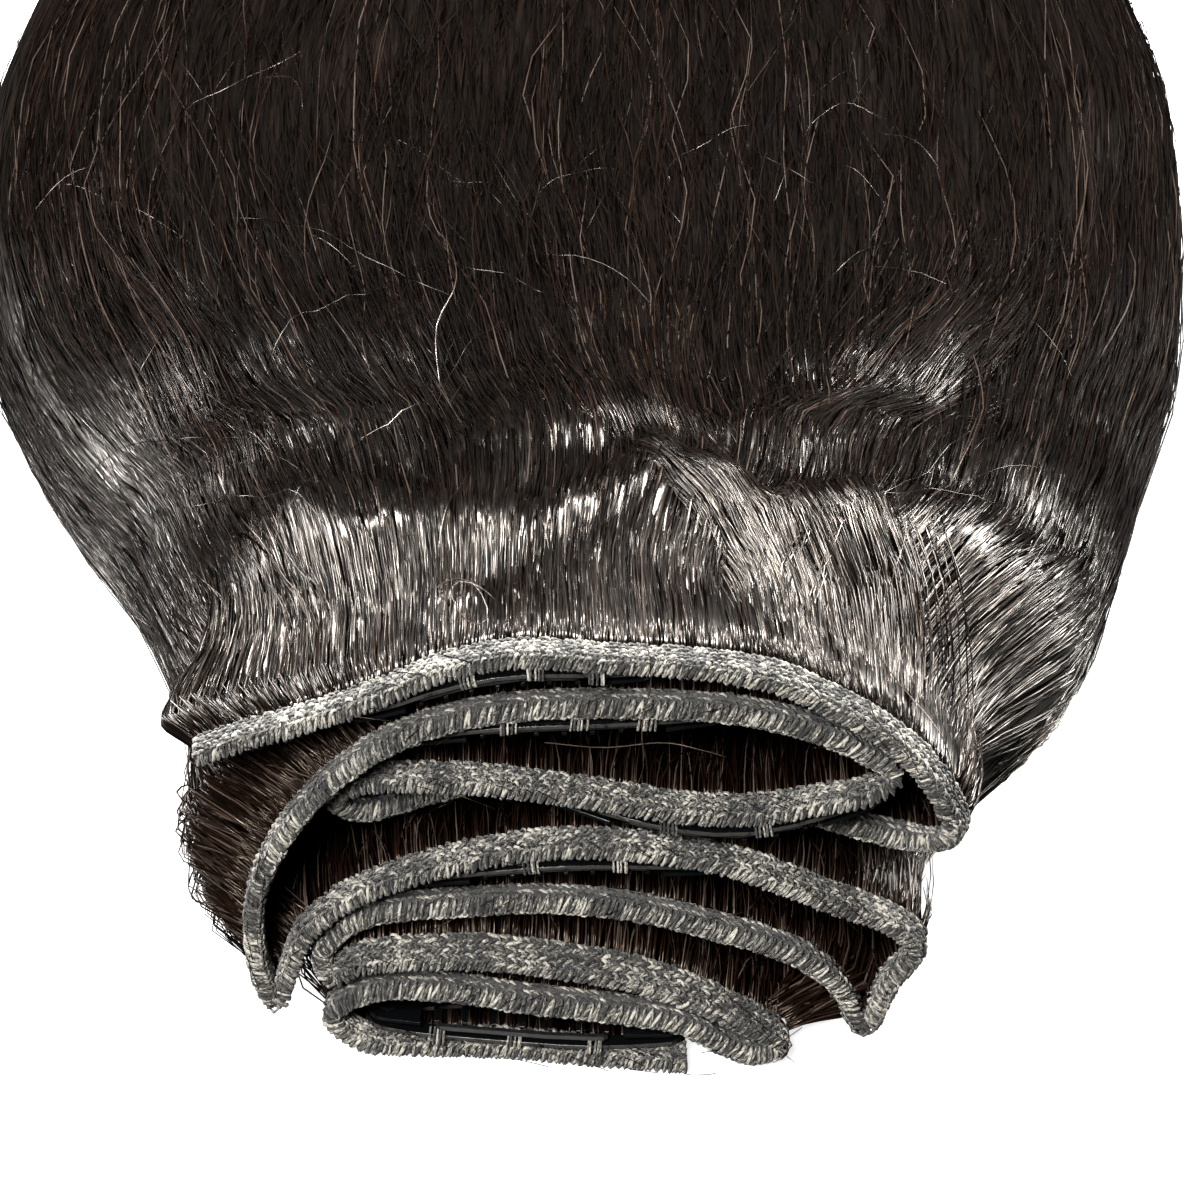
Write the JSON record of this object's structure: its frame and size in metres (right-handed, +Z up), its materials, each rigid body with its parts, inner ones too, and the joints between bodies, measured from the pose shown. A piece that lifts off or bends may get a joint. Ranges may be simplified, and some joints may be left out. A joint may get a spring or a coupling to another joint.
{
  "type": "clip in hair extension",
  "caption": "Clip-in hair extension: a machine-sewn weft with snap clips, folded back and forth into a flat stack, its long dark hair spreading out behind it on the surface.",
  "frame": {"origin": "middle of the base, where the hair rests on the surface", "axes": "+Z up, +Y from the folded weft towards the tips of the hair, +X to the right as seen from the weft"},
  "size_m": [0.1484, 0.4668, 0.0428],
  "materials": {
    "thread": "matt stitched yarn",
    "hair": "softly shiny hair",
    "steel": "black gloss lacquer on spring steel",
    "silicone": "satin black silicone"
  },
  "bodies": {
    "root": {"weft_band": "thread", "hair": "hair", "clip_1_frame": "steel", "clip_1_comb": "steel", "clip_1_grip": "silicone", "clip_1_rivet_left": "steel", "clip_1_rivet_right": "steel", "clip_2_frame": "steel", "clip_2_comb": "steel", "clip_2_grip": "silicone", "clip_2_rivet_left": "steel", "clip_2_rivet_right": "steel", "clip_3_frame": "steel", "clip_3_comb": "steel", "clip_3_grip": "silicone", "clip_3_rivet_left": "steel", "clip_3_rivet_right": "steel", "clip_4_frame": "steel", "clip_4_comb": "steel", "clip_4_grip": "silicone", "clip_4_rivet_left": "steel", "clip_4_rivet_right": "steel", "clip_5_frame": "steel", "clip_5_comb": "steel", "clip_5_grip": "silicone", "clip_5_rivet_left": "steel", "clip_5_rivet_right": "steel"}
  },
  "joints": []
}
